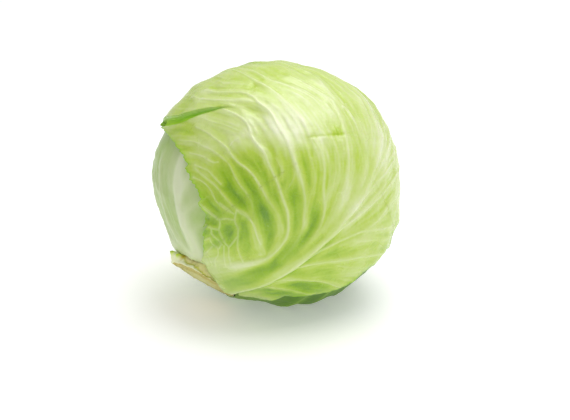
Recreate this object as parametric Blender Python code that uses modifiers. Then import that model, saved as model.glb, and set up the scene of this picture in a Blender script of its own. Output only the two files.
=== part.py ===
"""Green cabbage head, lying on its side as it is put down after cutting.

Units are metres, +Z is up and the head rests on z = 0.  Every leaf is a piece
of its own, wrapped round the head and butted against the stem core.

Head angles: "polar" is measured from the stem direction (0 at the cut stem,
180 at the crown); "turn" goes round the stem axis, 0 on the side that faces
-Y and positive towards the lower right seen from -Y.
"""
import math

import bpy
import bmesh
import numpy as np
from mathutils import Matrix

# --------------------------------------------------------------------------
# Driving dimensions (metres and degrees)
# --------------------------------------------------------------------------
HEAD_RADIUS = 0.0868          # mean radius of the head
CENTRE_HEIGHT = 0.0820         # head centre above the surface: flattens a spot
CENTRE_OFFSET = (0.00034, -0.00013)  # puts the bounding box over the origin
LUMP = 0.0007                 # slow unevenness of the head

# Outline of the head seen from the front, radius every 15 degrees,
# anticlockwise from the right (millimetres).
OUTLINE_MM = [86.6, 86.9, 86.5, 87.0, 85.8, 85.4, 85.9, 86.6,
              87.3, 88.8, 89.0, 88.1, 86.4, 83.7, 82.5, 82.0,
              82.0, 82.4, 84.1, 86.0, 88.0, 88.7, 89.4, 87.7]
VIEW_TILT = 20.0              # that front view looks down by this much
OUTLINE_FORWARD = 5.3         # and meets the outline this far to its near side
OUTLINE_REACH = 40.0          # how far round the outline's unevenness carries

STEM_TILT = (-0.614, -0.780, 0.12)   # stem direction: right, up, near

STEM_FACE = 0.0846            # middle of the cut face from the head centre
STEM_RADIUS = 0.0250          # stump radius at the cut
CUT_SLOPE = (-0.070, -0.108)  # the knife went through at a slant: rise towards turn 0 and turn 90
STEM_SHOULDER = 0.0195        # core radius just inside the outer leaves
STEM_TOP = 0.0265             # top of the core from the head centre
STEM_TOP_RADIUS = 0.0085

JOINT_GAP = 0.0004            # clearance between a leaf base and the core
LEAF_THICKNESS = 0.0009
LEAF_STEP = 0.0024            # how far a leaf dips under the one outside it
STEP_START = 0.006            # the dip is complete this far past the margin
STEP_END = 0.040              # and has faded out here

HEART_RADIUS = 0.0330
HEART_LENGTH = 1.12           # heart bud is this much longer than wide
HEART_SHIFT = 0.0125          # towards the crown, off the top of the core

# --------------------------------------------------------------------------
# Leaves, from the outside in.
# name, tier depth, polar and turn of the middle of the blade, turn of the
# midrib, midrib height, grid cells, outline in degrees from the middle every
# 15 degrees (0 towards the tip, then towards growing turn), colour
# --------------------------------------------------------------------------
FRONT = [72, 70, 70, 73, 76, 69, 74, 78, 78, 81, 83, 95,
         99, 77, 67, 67, 73, 91, 107, 109, 103, 95, 86, 78]
BOTTOM = [92, 88, 84, 79, 74, 70, 68, 67, 67, 68, 71, 75,
          82, 84, 87, 88, 88, 87, 87, 88, 90, 91, 92, 92]
LEFT = [78, 79, 80, 80, 79, 77, 76, 75, 75, 76, 77, 78,
        82, 77, 73, 69, 66, 64, 63, 64, 66, 69, 73, 76]
BACK = [94, 93, 90, 87, 84, 81, 79, 78, 77, 77, 78, 79,
        82, 79, 78, 77, 78, 80, 82, 85, 88, 91, 93, 94]
WRAP = [76, 76, 75, 73, 71, 70, 69, 68, 67, 66, 66, 68,
        74, 68, 66, 66, 67, 68, 69, 70, 71, 73, 75, 76]
CUP = [70, 69, 67, 65, 63, 62, 61, 60, 60, 61, 63, 67,
       76, 67, 63, 61, 60, 60, 61, 62, 63, 65, 67, 69]

LEAVES = [
    ("front_wrapper_leaf", 0.000, 115, 8, 34.5, 0.0026, 25, FRONT, (0.52, 0.66, 0.24)),
    ("bottom_wrapper_leaf", 0.000, 90, 131, 131, 0.0016, 20, BOTTOM, (0.26, 0.44, 0.08)),
    ("left_wrapper_leaf", 0.000, 82, -62, -48, 0.0018, 18, LEFT, (0.50, 0.62, 0.26)),
    ("back_wrapper_leaf", 0.000, 90, -150, -150, 0.0016, 20, BACK, (0.44, 0.58, 0.20)),
    ("outer_leaf_1", 0.0098, 88, 10, 10, 0.0, 13, WRAP, (0.54, 0.68, 0.30)),
    ("outer_leaf_2", 0.0098, 88, 100, 100, 0.0, 13, WRAP, (0.54, 0.68, 0.30)),
    ("outer_leaf_3", 0.0098, 88, -80, -80, 0.0, 13, WRAP, (0.54, 0.68, 0.30)),
    ("outer_leaf_4", 0.0098, 88, -170, -170, 0.0, 13, WRAP, (0.54, 0.68, 0.30)),
    ("inner_leaf_1", 0.0215, 86, 55, 55, 0.0, 10, CUP, (0.64, 0.74, 0.42)),
    ("inner_leaf_2", 0.0215, 86, -125, -125, 0.0, 10, CUP, (0.64, 0.74, 0.42)),
    ("inner_leaf_3", 0.0215, 86, 145, 145, 0.0, 10, CUP, (0.64, 0.74, 0.42)),
    ("inner_leaf_4", 0.0215, 86, -35, -35, 0.0, 10, CUP, (0.64, 0.74, 0.42)),
    ("heart_leaf_1", 0.0340, 86, 15, 15, 0.0, 8, CUP, (0.76, 0.80, 0.55)),
    ("heart_leaf_2", 0.0340, 86, 135, 135, 0.0, 8, CUP, (0.76, 0.80, 0.55)),
    ("heart_leaf_3", 0.0340, 86, -105, -105, 0.0, 8, CUP, (0.76, 0.80, 0.55)),
]

# Midrib of the front leaf bends: (polar, turn) from base to tip.
FRONT_RIB = [(20, 32), (40, 34), (75, 34.5), (110, 35), (132, 36), (141, 33.5), (151, 24)]


# --------------------------------------------------------------------------
# Directions
# --------------------------------------------------------------------------
def unit(v):
    v = np.asarray(v, float)
    return v / np.linalg.norm(v)


tilt = math.radians(VIEW_TILT)
RIGHT = np.array([1.0, 0.0, 0.0])
UP = np.array([0.0, math.sin(tilt), math.cos(tilt)])
NEAR = np.array([0.0, -math.cos(tilt), math.sin(tilt)])
_s = unit(STEM_TILT)
STEM = _s[0] * RIGHT + _s[1] * UP + _s[2] * NEAR
SIDE_0 = unit(NEAR - (NEAR @ STEM) * STEM)
SIDE_90 = np.cross(SIDE_0, STEM)


def smoothstep(a, b, x):
    t = np.clip((x - a) / (b - a), 0.0, 1.0)
    return t * t * (3.0 - 2.0 * t)


def ring_value(values, degrees):
    """Smooth periodic curve through equally spaced values."""
    v = np.asarray(values, float)
    n = len(v)
    t = (np.asarray(degrees) % 360.0) / 360.0 * n
    i = np.floor(t).astype(int)
    f = t - i
    a, b, c, d = (v[(i + k) % n] for k in (-1, 0, 1, 2))
    return b + 0.5 * f * (c - a + f * (2 * a - 5 * b + 4 * c - d + f * (3 * (b - c) + d - a)))


def direction(polar, turn):
    p, t = np.radians(polar), np.radians(turn)
    return (np.cos(p)[..., None] * STEM
            + np.sin(p)[..., None] * (np.cos(t)[..., None] * SIDE_0
                                      + np.sin(t)[..., None] * SIDE_90))


def leaf_axes(polar, turn):
    """Tip, side and outward directions at the middle of a leaf."""
    p, t = math.radians(polar), math.radians(turn)
    around = math.cos(t) * SIDE_0 + math.sin(t) * SIDE_90
    out = math.cos(p) * STEM + math.sin(p) * around
    tip = -math.sin(p) * STEM + math.cos(p) * around
    side = -math.sin(t) * SIDE_0 + math.cos(t) * SIDE_90
    return tip, side, out


# --------------------------------------------------------------------------
# Outside of the head
# --------------------------------------------------------------------------
def head_surface(v):
    """Distance from the centre to the outside of the head along v."""
    x, y, z = v @ RIGHT, v @ UP, v @ NEAR
    seen = np.degrees(np.arctan2(y, x))
    forward = np.degrees(np.arcsin(np.clip(z, -1, 1))) - OUTLINE_FORWARD
    weight = np.exp(-(forward / OUTLINE_REACH) ** 2)
    r = HEAD_RADIUS + (ring_value(OUTLINE_MM, seen) / 1000 - HEAD_RADIUS) * weight
    polar = np.degrees(np.arccos(np.clip(v @ STEM, -1, 1)))
    r = r - 0.0016 * np.exp(-(polar / 24.0) ** 2)
    r = r + LUMP * np.sin(2.3 * v[..., 0] * 2 + 1.0) * np.cos(2.1 * v[..., 2] * 2 + v[..., 1] * 3)
    # the spot that the head has settled on is flat
    down = -v[..., 2]
    flat = np.where(down > 0.3, CENTRE_HEIGHT / np.maximum(down, 0.3), 1.0)
    return np.minimum(r, flat)


def leaf_reach(leaf, degrees):
    """Angle from the middle of a leaf to its margin, in a given direction."""
    name, depth, polar, turn, rib, height, cells, outline, colour = leaf
    reach = ring_value(outline, degrees)
    # the base ends on a circle round the stem core
    circle = base_circle(depth)
    pc = math.radians(polar)
    a = np.cos(np.radians(degrees) - math.pi) * math.sin(pc)
    b = math.cos(pc)
    amp = np.hypot(a, b)
    ratio = np.clip(math.cos(circle) / np.maximum(amp, 1e-9), -1, 1)
    hit = np.degrees(np.arctan2(a, b) - np.arccos(ratio))
    meets = (amp > math.cos(circle)) & (a > 0)
    return np.where(meets, np.minimum(reach, hit), reach)


def core_radius(s):
    """Radius of the stem core at distance s from the head centre."""
    knots = np.array([STEM_TOP, 0.045, 0.066, STEM_FACE - 0.006, STEM_FACE])
    radii = np.array([STEM_TOP_RADIUS, 0.0130, STEM_SHOULDER, STEM_RADIUS, STEM_RADIUS])
    return np.interp(s, knots, radii)


def base_circle(depth):
    """Polar angle at which a leaf of this depth meets the stem core."""
    r = HEAD_RADIUS - 0.005 - depth
    low, high = 0.0, math.radians(40)
    for _ in range(40):
        mid = 0.5 * (low + high)
        clear = r * math.sin(mid) - core_radius(r * math.cos(mid)) - JOINT_GAP - 0.0008
        low, high = (mid, high) if clear < 0 else (low, mid)
    return high


def past_margin(leaf, v):
    """Metres from a leaf's margin, positive outside the leaf."""
    tip, side, out = leaf_axes(leaf[2], leaf[3])
    angle = np.degrees(np.arccos(np.clip(v @ out, -1, 1)))
    degrees = np.degrees(np.arctan2(v @ side, v @ tip))
    return np.radians(angle - ring_value(leaf[7], degrees)) * HEAD_RADIUS


def cover(leaf, v):
    """1 under a leaf, fading to 0 a little way outside it."""
    return 1.0 - smoothstep(STEP_START, STEP_END, past_margin(leaf, v))


def rib_distance(leaf, v):
    """Metres from a leaf's midrib, and how far along it from 0 to 1."""
    if leaf[0] == "front_wrapper_leaf":
        polar, turn = np.array(FRONT_RIB, float).T
    else:
        polar = np.array([21.0, 60.0, 100.0, 145.0])
        turn = np.full(4, float(leaf[4]))
    pts = direction(polar, turn)
    best = np.full(v.shape[:-1], 9.0)
    along = np.zeros(v.shape[:-1])
    for i in range(len(pts) - 1):
        a, b = pts[i], pts[i + 1]
        ab = b - a
        t = np.clip(((v - a) @ ab) / (ab @ ab), 0, 1)
        dist = np.linalg.norm(v - (a + t[..., None] * ab), axis=-1)
        along = np.where(dist < best, (i + t) / (len(pts) - 1), along)
        best = np.minimum(best, dist)
    return best * HEAD_RADIUS, along


def leaf_surface(index, v):
    """Distance from the centre to the outside of leaf number index."""
    leaf = LEAVES[index]
    r = head_surface(v) - leaf[1]
    covered = np.zeros(v.shape[:-1])
    for j in range(index):
        other = LEAVES[j]
        if abs(other[1] - leaf[1]) < 1e-6:
            c = cover(other, v)
            r = r - LEAF_STEP * c
            covered = np.maximum(covered, c)
    if leaf[5] > 0:
        dist, along = rib_distance(leaf, v)
        width = 0.0095 * (1 - 0.75 * along) + 0.001
        ridge = leaf[5] * (1 - 0.85 * along) * np.exp(-(dist / width) ** 2)
        lift = 1.0 - smoothstep(0.25, 0.75, covered)
        down = -v[..., 2]
        lift = lift * (1.0 - smoothstep(0.80, 0.90, down))
        r = r + ridge * lift
    return r


# --------------------------------------------------------------------------
# Building
# --------------------------------------------------------------------------
def make_material(name, colour, roughness):
    mat = bpy.data.materials.new(name)
    mat.use_nodes = True
    shader = mat.node_tree.nodes["Principled BSDF"]
    shader.inputs["Base Color"].default_value = (*colour, 1.0)
    shader.inputs["Roughness"].default_value = roughness
    shader.inputs["Metallic"].default_value = 0.0
    mat.diffuse_color = (*colour, 1.0)
    return mat


def adopt(obj, name, parts, head, material):
    obj.name = name
    obj.data.name = name
    for c in list(obj.users_collection):
        c.objects.unlink(obj)
    parts.objects.link(obj)
    obj.data.materials.clear()
    obj.data.materials.append(material)
    for poly in obj.data.polygons:
        poly.use_smooth = True
    obj.parent = head


def build_leaf(index, parts, head):
    """A grid wrapped onto the head inside the leaf's outline, given thickness."""
    leaf = LEAVES[index]
    name, depth, polar, turn, rib, height, cells, outline, colour = leaf
    tip, side, out = leaf_axes(polar, turn)
    bpy.ops.mesh.primitive_grid_add(x_subdivisions=cells, y_subdivisions=cells, size=2)
    obj = bpy.context.object
    mesh = obj.data
    co = np.empty(len(mesh.vertices) * 3)
    mesh.vertices.foreach_get("co", co)
    x, y = co.reshape(-1, 3)[:, 0], co.reshape(-1, 3)[:, 1]
    # square to disc, so that the leaf's margin is the grid's own border
    px = x * np.sqrt(1 - 0.5 * y * y)
    py = y * np.sqrt(1 - 0.5 * x * x)
    radius = np.hypot(px, py)
    heading = np.degrees(np.arctan2(-py, px))
    angle = np.radians(radius * leaf_reach(leaf, heading))
    h = np.radians(heading)
    v = (np.cos(angle)[:, None] * out
         + np.sin(angle)[:, None] * (np.cos(h)[:, None] * tip + np.sin(h)[:, None] * side))
    points = v * leaf_surface(index, v)[:, None]
    # local axes: X to the tip, Y across the blade, Z outwards
    axes = np.stack([tip, -side, out])
    mesh.vertices.foreach_set("co", (points @ axes.T).ravel())
    mesh.update()
    adopt(obj, name, parts, head, make_material(name, colour, 0.5))
    obj.rotation_euler = Matrix(axes.T.tolist()).to_euler()
    shell = obj.modifiers.new("thickness", "SOLIDIFY")
    shell.thickness = LEAF_THICKNESS
    shell.offset = -1.0
    return obj


def build_core(parts, head):
    """Cut stump and the core that the leaves grow from, one turned piece."""
    profile = [(0.0, STEM_FACE - 0.0004), (STEM_RADIUS - 0.0025, STEM_FACE),
               (STEM_RADIUS - 0.0006, STEM_FACE - 0.0008)]
    for s in np.linspace(STEM_FACE - 0.0025, STEM_TOP + 0.001, 9):
        profile.append((float(core_radius(s)), float(s)))
    profile += [(STEM_TOP_RADIUS - 0.002, STEM_TOP), (0.0, STEM_TOP)]
    bm = bmesh.new()
    line = [bm.verts.new((r, 0.0, h)) for r, h in profile]
    edges = [bm.edges.new(pair) for pair in zip(line, line[1:])]
    bmesh.ops.spin(bm, geom=line + edges, axis=(0, 0, 1), cent=(0, 0, 0), steps=30,
                   angle=2 * math.pi, use_duplicate=False)
    bmesh.ops.remove_doubles(bm, verts=bm.verts, dist=0.0001)
    bmesh.ops.recalc_face_normals(bm, faces=bm.faces)
    for vert in bm.verts:
        slant = CUT_SLOPE[0] * vert.co.x - CUT_SLOPE[1] * vert.co.y
        vert.co.z += slant * float(smoothstep(STEM_FACE - 0.016, STEM_FACE - 0.002, vert.co.z))
    mesh = bpy.data.meshes.new("stem_core")
    bm.to_mesh(mesh)
    bm.free()
    obj = bpy.data.objects.new("stem_core", mesh)
    bpy.context.scene.collection.objects.link(obj)
    adopt(obj, "stem_core", parts, head, make_material("stem_core", (0.62, 0.66, 0.36), 0.6))
    obj.rotation_euler = Matrix(np.stack([SIDE_0, -SIDE_90, STEM], axis=1).tolist()).to_euler()
    return obj


def build_heart(parts, head):
    """Closed bud of the youngest leaves, on top of the core."""
    bpy.ops.mesh.primitive_ico_sphere_add(subdivisions=3, radius=HEART_RADIUS)
    obj = bpy.context.object
    for vert in obj.data.vertices:
        x, y, z = vert.co
        turn = math.atan2(y, x)
        fold = 1.0 + 0.018 * math.sin(3 * turn + 60.0 * z)
        vert.co = (x * fold, y * fold, z * HEART_LENGTH)
    adopt(obj, "heart_bud", parts, head, make_material("heart_bud", (0.82, 0.84, 0.62), 0.5))
    axes = np.stack([SIDE_0, SIDE_90, -STEM], axis=1)
    obj.rotation_euler = Matrix(axes.tolist()).to_euler()
    obj.location = (-STEM * HEART_SHIFT).tolist()
    return obj


def main():
    for obj in list(bpy.data.objects):
        bpy.data.objects.remove(obj, do_unlink=True)
    parts = bpy.data.collections.new("cabbage_head")
    bpy.context.scene.collection.children.link(parts)
    head = bpy.data.objects.new("head_centre", None)
    head.empty_display_size = 0.02
    head.location = (*CENTRE_OFFSET, CENTRE_HEIGHT)
    parts.objects.link(head)
    for index in range(len(LEAVES)):
        build_leaf(index, parts, head)
    build_core(parts, head)
    build_heart(parts, head)
    bpy.context.view_layer.update()


main()
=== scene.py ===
import math

import bpy
import numpy as np
from mathutils import Matrix, Vector, kdtree


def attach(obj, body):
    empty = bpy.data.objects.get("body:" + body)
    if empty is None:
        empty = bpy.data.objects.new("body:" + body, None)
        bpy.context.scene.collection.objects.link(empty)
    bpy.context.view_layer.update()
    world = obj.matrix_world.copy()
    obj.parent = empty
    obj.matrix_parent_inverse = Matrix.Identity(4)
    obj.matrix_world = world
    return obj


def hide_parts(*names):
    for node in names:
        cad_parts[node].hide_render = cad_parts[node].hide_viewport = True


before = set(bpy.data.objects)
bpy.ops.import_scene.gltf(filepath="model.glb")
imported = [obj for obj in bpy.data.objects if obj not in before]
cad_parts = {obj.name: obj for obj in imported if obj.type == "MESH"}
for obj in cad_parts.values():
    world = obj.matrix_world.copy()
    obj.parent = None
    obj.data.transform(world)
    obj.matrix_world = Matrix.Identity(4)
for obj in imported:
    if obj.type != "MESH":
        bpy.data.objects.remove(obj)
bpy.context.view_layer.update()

# --------------------------------------------------------------------------
# The head's shape, as the CAD model has it
# --------------------------------------------------------------------------
HEAD_RADIUS = 0.0868
CENTRE = np.array([0.00034, -0.00013, 0.0820])
OUTLINE_MM = [86.6, 86.9, 86.5, 87.0, 85.8, 85.4, 85.9, 86.6,
              87.3, 88.8, 89.0, 88.1, 86.4, 83.7, 82.5, 82.0,
              82.0, 82.4, 84.1, 86.0, 88.0, 88.7, 89.4, 87.7]
STEM_TILT = (-0.614, -0.780, 0.12)
STEM_FACE = 0.0846
STEM_RADIUS = 0.0246
CUT_SLOPE = (-0.070, -0.140)
LEAF_STEP = 0.0024
LEAF_THICKNESS = 0.0009

FRONT = [72, 70, 70, 73, 76, 69, 74, 78, 78, 81, 83, 95,
         99, 77, 67, 67, 73, 91, 107, 109, 103, 95, 86, 78]
BOTTOM = [92, 88, 84, 79, 74, 70, 68, 67, 67, 68, 71, 75,
          82, 84, 87, 88, 88, 87, 87, 88, 90, 91, 92, 92]
LEFT = [78, 79, 80, 80, 79, 77, 76, 75, 75, 76, 77, 78,
        82, 77, 73, 69, 66, 64, 63, 64, 66, 69, 73, 76]
BACK = [94, 93, 90, 87, 84, 81, 79, 78, 77, 77, 78, 79,
        82, 79, 78, 77, 78, 80, 82, 85, 88, 91, 93, 94]


def unit(v):
    v = np.asarray(v, float)
    return v / np.linalg.norm(v, axis=-1, keepdims=True)


TILT = math.radians(20.0)
RIGHT = np.array([1.0, 0.0, 0.0])
UP = np.array([0.0, math.sin(TILT), math.cos(TILT)])
NEAR = np.array([0.0, -math.cos(TILT), math.sin(TILT)])
_s = unit(STEM_TILT)
STEM = _s[0] * RIGHT + _s[1] * UP + _s[2] * NEAR
SIDE_0 = unit(NEAR - (NEAR @ STEM) * STEM)
SIDE_90 = np.cross(SIDE_0, STEM)

LENS, SENSOR, DISTANCE = 85.0, 36.0, 0.942
HEAD_AT = (277.0, 184.0)      # where the head's centre falls in the 570 x 420 frame


def smoothstep(a, b, x):
    t = np.clip((x - a) / (b - a), 0.0, 1.0)
    return t * t * (3.0 - 2.0 * t)


def ring_value(values, degrees):
    v = np.asarray(values, float)
    n = len(v)
    t = (np.asarray(degrees) % 360.0) / 360.0 * n
    i = np.floor(t).astype(int)
    f = t - i
    a, b, c, d = (v[(i + k) % n] for k in (-1, 0, 1, 2))
    return b + 0.5 * f * (c - a + f * (2 * a - 5 * b + 4 * c - d + f * (3 * (b - c) + d - a)))


def direction(polar, turn):
    p, t = np.radians(np.asarray(polar, float)), np.radians(np.asarray(turn, float))
    return (np.cos(p)[..., None] * STEM
            + np.sin(p)[..., None] * (np.cos(t)[..., None] * SIDE_0
                                      + np.sin(t)[..., None] * SIDE_90))


def polar_turn(v):
    polar = np.degrees(np.arccos(np.clip(v @ STEM, -1, 1)))
    turn = np.degrees(np.arctan2(v @ SIDE_90, v @ SIDE_0))
    return polar, turn


def leaf_axes(polar, turn):
    p, t = math.radians(polar), math.radians(turn)
    around = math.cos(t) * SIDE_0 + math.sin(t) * SIDE_90
    out = math.cos(p) * STEM + math.sin(p) * around
    tip = -math.sin(p) * STEM + math.cos(p) * around
    side = -math.sin(t) * SIDE_0 + math.cos(t) * SIDE_90
    return tip, side, out


def seen(points):
    """Directions from the head's centre to points given in the front view's frame."""
    k = SENSOR / 570.0 / LENS
    p = np.asarray(points, float)
    ray = np.stack([(p[..., 0] - HEAD_AT[0]) * k, -(p[..., 1] - HEAD_AT[1]) * k,
                    -np.ones(p.shape[:-1])], -1)
    ray = unit(ray)
    b = ray[..., 2] * DISTANCE
    r = np.full(p.shape[:-1], HEAD_RADIUS)
    for _ in range(5):
        disc = np.maximum(b * b - (DISTANCE ** 2 - r ** 2), 0.0)
        hit = np.array([0, 0, DISTANCE]) + (-b - np.sqrt(disc))[..., None] * ray
        hit = unit(hit)
        out = hit[..., :1] * RIGHT + hit[..., 1:2] * UP + hit[..., 2:3] * NEAR
        # settle on the head's own outside
        r = 0.5 * r + 0.5 * (head_surface(out) + collar(out, 0))
    return out


def waves(seed, size, count=26):
    """A smooth random field of the given wavelength in metres, about -1 to 1."""
    rng = np.random.default_rng(seed)
    w = unit(rng.normal(size=(count, 3))) * (2 * math.pi / size) * rng.uniform(0.7, 1.35, (count, 1))
    ph = rng.uniform(0, 2 * math.pi, count)

    def field(p):
        out = np.zeros(p.shape[:-1])
        for a, b in zip(w, ph):
            out += np.sin(p @ a + b)
        return out * (1.3 / math.sqrt(count))
    return field


LUMPS = waves(11, 0.075)
PUCKER = waves(12, 0.022)
FINE = waves(13, 0.0075)
PATCH = waves(14, 0.040)
TEETH = waves(15, 0.012)
TEETH_FINE = waves(16, 0.005)
TEETH_SMALL = waves(17, 0.0030)


def head_surface(v):
    x, y, z = v @ RIGHT, v @ UP, v @ NEAR
    angle = np.degrees(np.arctan2(y, x))
    forward = np.degrees(np.arcsin(np.clip(z, -1, 1))) - 5.3
    weight = np.exp(-(forward / 40.0) ** 2)
    r = HEAD_RADIUS + (ring_value(OUTLINE_MM, angle) / 1000 - HEAD_RADIUS) * weight
    polar = np.degrees(np.arccos(np.clip(v @ STEM, -1, 1)))
    r = r - 0.0016 * np.exp(-(polar / 24.0) ** 2)
    r = r + 0.0007 * np.sin(2.3 * v[..., 0] * 2 + 1.0) * np.cos(2.1 * v[..., 2] * 2 + v[..., 1] * 3)
    return r


def rest_flat(v, r):
    """Nothing reaches below the surface that the head lies on."""
    down = -v[..., 2]
    flat = np.where(down > 0.3, CENTRE[2] / np.maximum(down, 0.3), 1.0)
    return np.minimum(r, flat)


# --------------------------------------------------------------------------
# Curves on the head
# --------------------------------------------------------------------------
def smooth_curve(dirs, steps=5):
    d = np.asarray(dirs, float)
    d = np.concatenate([2 * d[:1] - d[1:2], d, 2 * d[-1:] - d[-2:-1]])
    out = []
    for i in range(1, len(d) - 2):
        for k in range(steps):
            f = k / steps
            a, b, c, e = d[i - 1], d[i], d[i + 1], d[i + 2]
            out.append(b + 0.5 * f * (c - a + f * (2 * a - 5 * b + 4 * c - e + f * (3 * (b - c) + e - a))))
    out.append(d[-2])
    return unit(np.array(out))


def near_curve(v, curve, reach=0.03):
    """Distance in metres, place along (0 to 1) and side (+ is the right hand, seen from outside) of the nearest point."""
    n = len(v)
    best = np.full(n, 9.0)
    along = np.zeros(n)
    sign = np.ones(n)
    near_curve.tangent = np.zeros((n, 3))
    mid = unit(curve.mean(0))
    spread = np.arccos(np.clip((curve @ mid).min(), -1, 1)) + reach / HEAD_RADIUS
    pick = np.nonzero(v @ mid > math.cos(min(spread, math.pi)))[0]
    if len(pick) == 0:
        return best, along, sign
    p = v[pick]
    bb = np.full(len(p), 9.0)
    tt = np.zeros(len(p))
    ss = np.ones(len(p))
    gg = np.zeros((len(p), 3))
    seg = len(curve) - 1
    for i in range(seg):
        a, ab = curve[i], curve[i + 1] - curve[i]
        q = p - a
        t = np.clip((q @ ab) / (ab @ ab), 0, 1)
        off = q - t[:, None] * ab
        dist = np.einsum("ij,ij->i", off, off)
        closer = dist < bb
        bb = np.where(closer, dist, bb)
        tt = np.where(closer, (i + t) / seg, tt)
        side = np.einsum("ij,ij->i", np.cross(np.broadcast_to(ab, off.shape), off), p)
        ss = np.where(closer, -np.sign(side), ss)
        gg[closer] = ab / np.linalg.norm(ab)
    near_curve.tangent[pick] = gg
    best[pick] = np.sqrt(bb) * HEAD_RADIUS
    along[pick] = tt
    sign[pick] = ss
    return best, along, sign


# --------------------------------------------------------------------------
# Front leaf: midrib, side veins and net, placed in the front view's frame
# --------------------------------------------------------------------------
FRONT_CREST = [(229, 291), (240, 288.6), (258, 284.3), (272, 278.5), (288, 270), (305.5, 257), (320, 245), (334, 232),
               (347, 216.5), (362, 197.5), (372, 176), (378, 158), (381, 143),
               (379, 128), (370, 107), (348, 84), (320, 70)]

# (points, strength, width) relative to a strong side vein
FRONT_VEINS = [
    # fan on the upper left of the midrib
    ([(209, 268), (222, 267), (235, 266), (250, 263.5), (262, 260), (272, 254.5), (281, 246), (287, 236), (288.5, 224),
      (287, 210), (283, 199), (277, 182), (272, 171), (268, 162), (264.5, 153), (258, 145.3), (252, 137),
      (247, 124), (238, 116), (223, 109)], 1.0, 1.0),
    ([(283, 258), (292, 248), (299, 237), (303.5, 226), (304.5, 213), (305, 199), (302, 183), (297, 168), (291.5, 153),
      (285, 138), (278, 127), (270, 112), (259, 103), (247, 94), (220, 93), (206, 91)], 0.95, 1.1),
    ([(301, 248), (313, 236), (321, 223), (324.5, 208), (323.6, 189), (324.5, 170), (321, 152),
      (314, 139)], 0.7, 1.1),
    ([(326, 230), (337, 210), (345, 190), (349, 170), (348, 152), (344, 126), (338, 112.5), (331, 100),
      (320, 93), (309, 86), (290, 76)], 0.6, 1.0),
    ([(352, 208), (361, 188), (366, 168), (364, 148), (357, 128), (347, 110), (340, 104), (325, 87.5),
      (315, 76), (300, 68)], 0.5, 1.0),
    ([(308, 132), (304, 124), (297, 114), (288, 104), (274, 91), (254, 80), (241, 73), (228, 70)], 0.85, 0.8),
    ([(339, 119), (336, 110), (330, 102), (322, 94), (312, 88)], 0.55, 0.6),
    ([(338, 121), (324, 108), (309, 95.5), (288, 86), (270, 80), (250, 70)], 0.6, 0.8),
    ([(247, 83), (226, 84), (219, 81)], 0.35, 0.7),
    ([(259, 103), (239.5, 101.5), (219, 101), (202, 100), (194, 97)], 0.5, 0.75),
    # left side
    ([(279, 248), (282.5, 236), (281, 225), (277, 213.5), (272.5, 206), (268, 200), (263, 191), (258, 182.5), (253, 175),
      (246, 168), (240, 164), (235, 159.5), (230, 153), (225, 146), (216, 139), (207, 132.5), (196, 127)], 0.85, 0.8),
    ([(259, 241), (256, 228), (253.5, 214), (252, 204), (249, 197), (245, 191), (240, 185), (235.5, 178),
      (232, 170), (228, 163), (220, 156), (212, 150), (203, 146), (195, 142), (181, 141)], 0.55, 0.75),
    ([(256, 140), (239.5, 131), (225, 125), (213, 122), (199, 117), (185, 115)], 0.5, 0.8),
    ([(266, 256), (261, 248), (258.6, 239), (254, 227), (251, 220), (245, 213), (236, 208.5), (226, 198), (216.5, 187),
      (207, 178), (195, 168)], 0.6, 0.75),
    ([(284, 194), (292, 182), (296, 170)], 0.30, 0.7),
    ([(305, 205), (312, 192), (315, 176), (312, 160)], 0.30, 0.7),
    ([(324, 200), (333, 186), (336, 168), (334, 150), (327, 136)], 0.35, 0.75),
    ([(276, 182), (281, 176), (281, 168), (276, 159)], 0.25, 0.7),
    # right side of the midrib
    ([(278, 275), (291, 266), (309, 257), (325, 248.5), (345, 239), (366, 231), (394, 224.5)], 0.80, 1.1),
    ([(272, 279), (285, 271.5), (299, 267), (325, 262.5), (345, 260), (366, 256), (384, 252)], 0.75, 1.1),
    ([(262, 284), (275, 281), (293, 280), (306, 280.5), (324, 282), (341, 287)], 0.70, 0.95),
    ([(305, 257), (316, 249), (329, 239), (345, 226), (360, 214), (375, 201), (394, 178), (400, 165)], 0.75, 1.1),
    ([(345, 220), (360, 201), (381, 177), (397, 146)], 0.70, 1.1),
    ([(362, 196), (377, 172), (388, 148), (392, 124)], 0.55, 1.0),
    ([(250, 287.5), (268, 287), (290, 290), (312, 294)], 0.45, 0.9),
    ([(343, 243), (358, 241), (372, 240), (388, 238)], 0.30, 0.8),
    ([(366, 231), (376, 222), (386, 210), (396, 196)], 0.35, 0.8),
    ([(327, 264), (340, 266), (356, 268), (366, 268)], 0.30, 0.8),
]

FRONT_NET = [
    [(236.5, 210.3), (247, 217), (254, 225), (257, 236), (261, 244)],
    [(236.5, 210.3), (235, 218), (235.4, 223), (238, 228), (238, 234), (237.6, 246), (239, 253), (243, 262)],
    [(218.7, 219.5), (227, 218.7), (234, 220)],
    [(220, 203), (227, 208), (234, 214)],
    [(201.5, 203), (209, 211), (218.7, 219.5), (220, 225), (219, 230), (222, 237), (225.6, 244),
     (228.5, 247.6), (229, 257), (232, 268)],
    [(211, 228), (215, 229), (219, 230)],
    [(204, 224), (211, 228), (212, 234), (218, 240), (222, 245)],
    [(210, 238), (212, 244), (217, 248), (218, 249.4), (221, 245)],
    [(218, 249), (218, 255), (215, 260), (216, 268)],
    [(228.5, 247.6), (232.5, 243), (238, 236)],
    [(224, 246), (224, 257), (226, 266)],
    [(204, 240), (210, 238)],
    [(207, 252), (212, 247)],
    [(190, 153), (202, 156), (212, 162), (218, 162)],
    [(195, 165), (207, 170), (214, 177), (221, 184)],
    [(193, 177), (203, 182), (211, 191), (217, 202), (226, 209), (233, 213)],
    [(202, 204), (208, 212), (218, 219.5)],
    [(230, 146), (233, 142), (238, 139)],
]

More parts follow.
